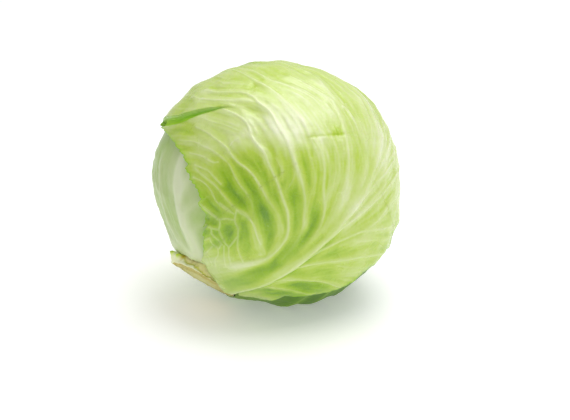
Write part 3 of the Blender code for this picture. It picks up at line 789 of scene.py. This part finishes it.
def stump_mesh():
    """Cut stump: a slanting, slightly domed cut face, a torn rim, the side wall with stubs of trimmed leaves."""
    around = 260
    a = np.linspace(0, 2 * math.pi, around, endpoint=False)
    prof = []
    for q in np.linspace(0, 1, 30):
        prof.append((STEM_RADIUS * 0.985 * q, 0.0, q, 0.0))
    for k, mm in enumerate([0.25, 0.7, 1.3, 2.0, 2.7, 3.4, 4.1, 4.8, 5.6, 6.4, 7.3, 8.3, 9.5, 11.0, 13.0, 16.0, 20.0]):
        r = np.interp(mm, [0, 0.5, 1.5, 4, 8, 12, 20], [1.0, 1.008, 1.008, 0.995, 0.975, 0.95, 0.80])
        prof.append((STEM_RADIUS * r, -mm / 1000, 1.0 + mm / 10.0, 1.0))
    prof.append((0.0004, -0.0215, 3.1, 1.0))
    rows = len(prof)
    R, S, Q, W = (np.array([q[i] for q in prof])[:, None] * np.ones(around) for i in range(4))
    A = a[None, :] * np.ones((rows, 1))
    turn = (np.degrees(A) + 180) % 360 - 180
    wob = 0.016 * np.sin(3 * A + 0.7) + 0.010 * np.sin(5 * A + 2.0) + 0.006 * np.sin(9 * A + 4)
    rim = smoothstep(0.55, 1.0, np.minimum(Q, 1.0))
    R = R * (1 + wob * rim * np.where(W > 0, np.clip(1 - 0.5 * (Q - 1), 0, 1), 1))
    P = np.stack([R * np.cos(A), R * np.sin(A), S], -1)
    n1 = waves(31, 0.009)(P)
    n2 = waves(32, 0.0028)(P)
    saw = np.sin(P[..., 0] * 1900 + 3 * n1)
    face = W < 0.5
    dome = -0.0004 + 0.0008 * (1 - np.minimum(Q, 1) ** 2)
    ring = -0.0005 * bump(np.minimum(Q, 1) - 0.70, 0.06)
    S = S + np.where(face, dome + ring + 0.00022 * n1 + 0.00009 * n2 + 0.00003 * saw, 0.0)
    S = S - 0.0006 * rim * (1 + 0.8 * n1) * np.where(face, 1, 0.4)
    mm = np.where(face, 0, (Q - 1) * 10.0)
    # ragged line where the trimmed leaves came off, a pale stub above it
    ragged = np.interp(turn, [-75, -56, -52, -48, -44, -34, -22, -8, 4, 14],
                       [7.5, 5.6, 5.0, 4.2, 2.8, 2.3, 1.7, 1.0, 1.3, 0.4]) + 0.30 * n2 + 0.35 * n1
    step = smoothstep(-0.5, 0.3, mm - ragged) * (mm > 0)
    R = R + np.where(face, 0, 0.00022 * n1 + 0.00014 * n2 + 0.00012 * np.sin(34 * A + 2 * n1))
    R = R - 0.0007 * step * (1 - smoothstep(6, 9, mm))
    # the stub of a trimmed outer leaf flares off on one side, with two nubs at its upper end
    R = R + np.exp(-((turn + 76) / 20.0) ** 2) * np.where(face, 0, np.interp(
        mm, [0, 1.2, 2.6, 4.0, 5.0, 6.4, 10], [0.0004, 0.0016, 0.0036, 0.0050, 0.0046, 0.0020, 0.0]))
    R = R + np.exp(-((turn - 38) / 16.0) ** 2) * np.where(face, 0, np.interp(mm, [0, 1.5, 4.0, 7.0, 12], [0.0, 0.0010, 0.0022, 0.0020, 0.0]))
    low = np.exp(-((turn + 82) / 30.0) ** 2)
    R = R - 0.0022 * low * smoothstep(0.5, 1.0, Q) * (1 - smoothstep(3, 6, mm))
    S = S + 0.0014 * low * smoothstep(0.5, 1.0, Q) * (1 - smoothstep(3, 6, mm))
    nub = np.exp(-((turn + 72) / 3.6) ** 2) + 0.9 * np.exp(-((turn + 60) / 3.2) ** 2) + 0.5 * np.exp(-((turn - 38) / 6.0) ** 2)
    nub = nub * np.exp(-((mm - 5.0) / 1.2) ** 2) * (mm > 0)
    R = R + 0.0024 * nub
    P = np.stack([R * np.cos(A), R * np.sin(A),
                  S + STEM_FACE + (CUT_SLOPE[0] * R * np.cos(A) + CUT_SLOPE[1] * R * np.sin(A))
                  * (1 - smoothstep(8, 18, mm))], -1)
    axes = np.stack([SIDE_0, SIDE_90, STEM])
    world = P.reshape(-1, 3) @ axes + CENTRE
    world[:, 2] = np.maximum(world[:, 2], 0.0006)
    idx = np.arange(rows * around).reshape(rows, around)
    nxt = np.roll(idx, -1, axis=1)
    quads = np.stack([idx[:-1], nxt[:-1], nxt[1:], idx[1:]], -1).reshape(-1, 4)
    if np.linalg.det(axes) > 0:
        quads = quads[:, ::-1]
    shown = smoothstep(-100, -80, turn) * (1 - smoothstep(8, 20, turn))
    attrs = {"across": np.minimum(Q, 1.0).ravel(), "wall": W.ravel(),
             "stubs": ((1 - smoothstep(-0.4, 0.2, mm - ragged)) * (mm > 0)).ravel(),
             "ragged": (bump(mm - ragged - 0.3, 0.65) * shown * (mm > 0)).ravel(),
             "tan": (smoothstep(0.2, 1.2, mm - ragged) * shown).ravel(),
             "nubs": np.clip(nub * 1.5, 0, 1).ravel(),
             "brown": (np.exp(-(((turn + 53) / 3.5) ** 2)) * np.exp(-((mm - 5.5) / 2.2) ** 2)).ravel()}
    return new_mesh("stump_skin", world, quads, attrs)


# --------------------------------------------------------------------------
# Materials
# --------------------------------------------------------------------------
def lin(r, g, b):
    def f(c):
        c /= 255.0
        return c / 12.92 if c <= 0.04045 else ((c + 0.055) / 1.055) ** 2.4
    return (f(r), f(g), f(b), 1.0)


def skin(r, g, b, gloss=0.030):
    """A colour as it looks in daylight, less the white that the waxy gloss adds."""
    return tuple(max(c - gloss, 0.002) for c in lin(r, g, b)[:3]) + (1.0,)


class Nodes:
    def __init__(self, name):
        self.mat = bpy.data.materials.new(name)
        self.mat.use_nodes = True
        self.tree = self.mat.node_tree
        self.shader = self.tree.nodes["Principled BSDF"]

    def add(self, kind, **props):
        node = self.tree.nodes.new(kind)
        for k, val in props.items():
            setattr(node, k, val)
        return node

    def link(self, a, b):
        self.tree.links.new(a, b)

    def attr(self, name):
        node = self.add("ShaderNodeAttribute", attribute_name=name)
        return node.outputs["Fac"]

    def math(self, op, a, b=None, clamp=False):
        node = self.add("ShaderNodeMath", operation=op, use_clamp=clamp)
        for socket, value in zip(node.inputs, (a, b)):
            if value is None:
                continue
            if isinstance(value, (int, float)):
                socket.default_value = value
            else:
                self.link(value, socket)
        return node.outputs[0]

    def coords(self):
        return self.add("ShaderNodeTexCoord").outputs["Object"]

    def noise(self, scale, detail=3.0, rough=0.55, distortion=0.0):
        node = self.add("ShaderNodeTexNoise")
        node.inputs["Scale"].default_value = scale
        node.inputs["Detail"].default_value = detail
        node.inputs["Roughness"].default_value = rough
        node.inputs["Distortion"].default_value = distortion
        self.link(self.coords(), node.inputs["Vector"])
        return node.outputs["Fac"]

    def voronoi(self, scale, feature="DISTANCE_TO_EDGE"):
        node = self.add("ShaderNodeTexVoronoi", feature=feature)
        node.inputs["Scale"].default_value = scale
        self.link(self.coords(), node.inputs["Vector"])
        return node.outputs["Distance"]

    def ramp(self, fac, stops, mode="LINEAR"):
        node = self.add("ShaderNodeValToRGB")
        node.color_ramp.interpolation = mode
        cr = node.color_ramp
        while len(cr.elements) < len(stops):
            cr.elements.new(0.5)
        for e, (pos, col) in zip(cr.elements, stops):
            e.position = pos
            e.color = col
        self.link(fac, node.inputs["Fac"])
        return node.outputs["Color"]

    def mix(self, fac, a, b, mode="MIX"):
        node = self.add("ShaderNodeMix", data_type="RGBA", blend_type=mode)
        for socket, value in ((node.inputs[0], fac), (node.inputs[6], a), (node.inputs[7], b)):
            if isinstance(value, (int, float)):
                socket.default_value = value
            elif isinstance(value, tuple):
                socket.default_value = value
            else:
                self.link(value, socket)
        return node.outputs[2]


def leaf_material(name, stops, vein, base_colour, fold_colour, rim_colour, rough=0.25, gloss=0.55):
    n = Nodes(name)
    tone = n.attr("tone")
    wide = n.noise(55.0, 2.0)
    small = n.noise(330.0, 3.0)
    t = n.math("ADD", tone, n.math("MULTIPLY", n.math("SUBTRACT", wide, 0.5), 0.07))
    t = n.math("ADD", t, n.math("MULTIPLY", n.math("SUBTRACT", small, 0.5), 0.06), True)
    colour = n.ramp(t, stops)
    # fine net of the smallest veins
    cells = n.voronoi(360.0)
    thin = n.math("SUBTRACT", 1.0, n.math("MULTIPLY", cells, 9.0, True), True)
    colour = n.mix(n.math("MULTIPLY", thin, 0.035), colour, vein)
    colour = n.mix(n.math("MULTIPLY", n.attr("line"), 0.85, True), colour, vein)
    colour = n.mix(n.math("MULTIPLY", n.attr("base"), 0.30, True), colour, base_colour)
    colour = n.mix(n.math("MULTIPLY", n.attr("fold"), 0.92, True), colour, fold_colour)
    # painted shade under the fold's lip
    colour = n.mix(n.math("MULTIPLY", n.attr("fold_painted_shade"), 0.60, True), colour, lin(96, 186, 8))
    colour = n.mix(n.math("MULTIPLY", n.attr("rim"), 0.85, True), colour, rim_colour)
    n.link(colour, n.shader.inputs["Base Color"])
    r = n.math("ADD", rough - 0.06, n.math("MULTIPLY", wide, 0.14))
    r = n.math("ADD", r, n.math("MULTIPLY", n.attr("line"), 0.08))
    r = n.math("ADD", r, n.math("MULTIPLY", n.attr("fold"), 0.45), True)
    n.link(r, n.shader.inputs["Roughness"])
    n.shader.inputs["Specular IOR Level"].default_value = gloss
    n.shader.inputs["Subsurface Weight"].default_value = 0.10
    n.shader.inputs["Subsurface Radius"].default_value = (0.6, 1.0, 0.25)
    n.shader.inputs["Subsurface Scale"].default_value = 0.003
    h = n.math("ADD", n.math("MULTIPLY", small, 0.5), n.math("MULTIPLY", n.noise(1100.0, 2.0), 0.16))
    h = n.math("ADD", h, n.math("MULTIPLY", thin, 0.20))
    bumpn = n.add("ShaderNodeBump")
    bumpn.inputs["Strength"].default_value = 0.22
    bumpn.inputs["Distance"].default_value = 0.0006
    n.link(h, bumpn.inputs["Height"])
    n.link(bumpn.outputs["Normal"], n.shader.inputs["Normal"])
    return n.mat


def stump_material():
    n = Nodes("stump")
    across, wall = n.attr("across"), n.attr("wall")
    blot = n.noise(170.0, 4.0)
    grain = n.noise(900.0, 3.0)
    q = n.math("ADD", across, n.math("MULTIPLY", n.math("SUBTRACT", blot, 0.5), 0.10))
    face = n.ramp(q, [(0.0, lin(216, 214, 150)), (0.40, lin(208, 206, 136)), (0.60, lin(198, 192, 114)),
                      (0.70, lin(184, 172, 92)), (0.78, lin(200, 192, 112)), (0.92, lin(196, 184, 98)),
                      (1.0, lin(200, 178, 84))])
    face = n.mix(n.math("MULTIPLY", n.math("SUBTRACT", grain, 0.42, True), 1.3, True), face, lin(164, 150, 90))
    side = n.ramp(blot, [(0.3, lin(180, 200, 112)), (0.7, lin(196, 210, 140))])
    tan = n.ramp(n.noise(240.0, 3.0), [(0.3, lin(232, 222, 140)), (0.7, lin(240, 236, 170))])
    side = n.mix(n.attr("tan"), side, tan)
    side = n.mix(n.math("MULTIPLY", n.attr("stubs"), 0.9), side, n.ramp(blot, [(0.3, lin(240, 242, 190)), (0.7, lin(246, 249, 212))]))
    side = n.mix(n.math("MULTIPLY", n.attr("ragged"), 0.85, True), side, n.ramp(grain, [(0.35, lin(214, 206, 40)), (0.65, lin(226, 222, 84))]))
    side = n.mix(n.math("MULTIPLY", n.attr("brown"), 0.9, True), side, lin(206, 182, 20))
    side = n.mix(n.attr("nubs"), side, n.ramp(blot, [(0.35, lin(170, 206, 14)), (0.6, lin(206, 234, 60))]))
    side = n.mix(n.math("MULTIPLY", n.math("SUBTRACT", grain, 0.50, True), 0.8, True), side, lin(214, 218, 168))
    colour = n.mix(wall, face, side)
    n.link(colour, n.shader.inputs["Base Color"])
    n.link(n.math("ADD", 0.46, n.math("MULTIPLY", blot, 0.2)), n.shader.inputs["Roughness"])
    n.shader.inputs["Specular IOR Level"].default_value = 0.3
    h = n.math("ADD", n.math("MULTIPLY", grain, 0.6), n.math("MULTIPLY", blot, 0.6))
    b = n.add("ShaderNodeBump")
    b.inputs["Strength"].default_value = 0.4
    b.inputs["Distance"].default_value = 0.0006
    n.link(h, b.inputs["Height"])
    n.link(b.outputs["Normal"], n.shader.inputs["Normal"])
    return n.mat


def inner_material(name, dark, pale):
    """For the leaves inside: pale, softly veined."""
    n = Nodes(name)
    wide = n.noise(40.0, 3.0)
    cells = n.voronoi(90.0)
    thin = n.math("SUBTRACT", 1.0, n.math("MULTIPLY", cells, 7.0, True), True)
    colour = n.ramp(wide, [(0.3, dark), (0.7, pale)])
    colour = n.mix(n.math("MULTIPLY", thin, 0.5), colour, lin(232, 236, 205))
    n.link(colour, n.shader.inputs["Base Color"])
    n.link(n.math("ADD", 0.36, n.math("MULTIPLY", wide, 0.18)), n.shader.inputs["Roughness"])
    b = n.add("ShaderNodeBump")
    b.inputs["Strength"].default_value = 0.4
    b.inputs["Distance"].default_value = 0.0008
    n.link(n.math("ADD", thin, n.noise(300.0, 3.0)), b.inputs["Height"])
    n.link(b.outputs["Normal"], n.shader.inputs["Normal"])
    return n.mat


FRONT_STOPS = [(0.00, skin(112, 155, 12)), (0.25, skin(150, 187, 34)), (0.50, skin(183, 207, 86)),
               (0.75, skin(206, 221, 146)), (1.00, skin(228, 234, 196))]
LEFT_STOPS = [(0.00, skin(136, 172, 62)), (0.30, skin(166, 195, 108)), (0.60, skin(188, 205, 146)),
              (0.85, skin(207, 220, 172)), (1.00, skin(219, 227, 190))]
# bottom leaf: dark greens, partly its own outer-leaf colour and partly painted shade under the head
BOTTOM_STOPS_WITH_PAINTED_SHADE = [(0.00, lin(80, 122, 8)), (0.25, lin(100, 144, 16)), (0.50, lin(136, 174, 44)),
                (0.80, lin(170, 198, 84)), (1.00, lin(192, 212, 120))]
VEIN = skin(230, 236, 194)

MATERIALS = {
    "front_wrapper_leaf": leaf_material("front_leaf", FRONT_STOPS, VEIN, skin(186, 208, 146), lin(176, 226, 4), lin(138, 190, 12)),
    "left_wrapper_leaf": leaf_material("left_leaf", LEFT_STOPS, lin(208, 221, 168), lin(190, 206, 146), lin(132, 176, 30), lin(170, 198, 80), 0.34, 0.45),
    "bottom_wrapper_leaf": leaf_material("bottom_leaf", BOTTOM_STOPS_WITH_PAINTED_SHADE, lin(190, 212, 130), lin(170, 196, 110), lin(110, 160, 20), lin(126, 172, 30), 0.46, 0.22),
    "back_wrapper_leaf": leaf_material("back_leaf", FRONT_STOPS, VEIN, lin(190, 206, 148), lin(132, 176, 30), lin(158, 196, 50)),
}

for i, leaf in enumerate(LEAVES):
    skin = leaf_mesh(i)
    skin.data.materials.append(MATERIALS[leaf.name])
    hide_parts(leaf.name)
    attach(skin, "root")

stump = stump_mesh()
stump.data.materials.append(stump_material())
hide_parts("stem_core")
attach(stump, "root")

INNER = {
    "outer_leaf": inner_material("outer_leaf", lin(168, 198, 92), lin(196, 214, 132)),
    "inner_leaf": inner_material("inner_leaf", lin(196, 212, 132), lin(216, 226, 164)),
    "heart_leaf": inner_material("heart_leaf", lin(220, 226, 160), lin(234, 238, 190)),
    "heart_bud": inner_material("heart_bud", lin(228, 230, 168), lin(240, 240, 200)),
}
for name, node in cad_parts.items():
    for key, mat in INNER.items():
        if name.startswith(key):
            node.data.materials.clear()
            node.data.materials.append(mat)

# --------------------------------------------------------------------------
# Floor, light and camera
# --------------------------------------------------------------------------
def floor_material():
    n = Nodes("pale_floor")
    fine = n.noise(30.0, 2.0)
    n.link(n.ramp(fine, [(0.3, (0.89, 0.89, 0.89, 1)), (0.7, (0.91, 0.91, 0.91, 1))]), n.shader.inputs["Base Color"])
    n.shader.inputs["Roughness"].default_value = 0.8
    n.shader.inputs["Specular IOR Level"].default_value = 0.1
    n.shader.inputs["Emission Color"].default_value = (1.0, 1.0, 1.0, 1.0)
    n.shader.inputs["Emission Strength"].default_value = 0.25
    return n.mat


bpy.ops.mesh.primitive_plane_add(size=6.0, location=(0, 0, -0.0002))
floor = bpy.context.object
floor.name = "floor"
floor.data.materials.append(floor_material())

world = bpy.data.worlds.new("studio")
bpy.context.scene.world = world
world.use_nodes = True
world.node_tree.nodes["Background"].inputs["Color"].default_value = (1.0, 1.0, 1.0, 1.0)
world.node_tree.nodes["Background"].inputs["Strength"].default_value = 0.55


def area(name, place, size, power, target=(0, 0, 0.08)):
    light = bpy.data.lights.new(name, "AREA")
    light.shape = "RECTANGLE"
    light.size, light.size_y = size
    light.energy = power
    obj = bpy.data.objects.new(name, light)
    bpy.context.scene.collection.objects.link(obj)
    obj.location = place
    obj.rotation_euler = (Vector(target) - Vector(place)).to_track_quat("-Z", "Y").to_euler()
    return obj


area("softbox", (0.28, 0.16, 1.22), (1.50, 1.00), 13.0)
area("fill", (0.4, -1.4, 0.6), (1.4, 1.0), 1.8)

camera = bpy.data.cameras.new("camera")
camera.lens = LENS
camera.sensor_width = SENSOR
camera.sensor_fit = "HORIZONTAL"
camera.clip_start = 0.01
cam = bpy.data.objects.new("camera", camera)
bpy.context.scene.collection.objects.link(cam)
k = SENSOR / 570.0 / LENS
yaw = math.atan((285.0 - HEAD_AT[0]) * k)
pitch = math.atan((210.0 - HEAD_AT[1]) * k)
look = Matrix(np.stack([RIGHT, UP, NEAR], axis=1).tolist())
turn = Matrix.Rotation(-yaw, 3, Vector((0, 1, 0))) @ Matrix.Rotation(-pitch, 3, Vector((1, 0, 0)))
pose = (look @ turn).to_4x4()
pose.translation = Vector((CENTRE + NEAR * DISTANCE).tolist())
cam.matrix_world = pose
bpy.context.scene.camera = cam

bpy.context.scene.view_settings.view_transform = "Standard"
bpy.context.scene.view_settings.look = "None"
bpy.context.scene.view_settings.exposure = 0.0
bpy.context.scene.view_settings.gamma = 1.0

bpy.context.view_layer.update()
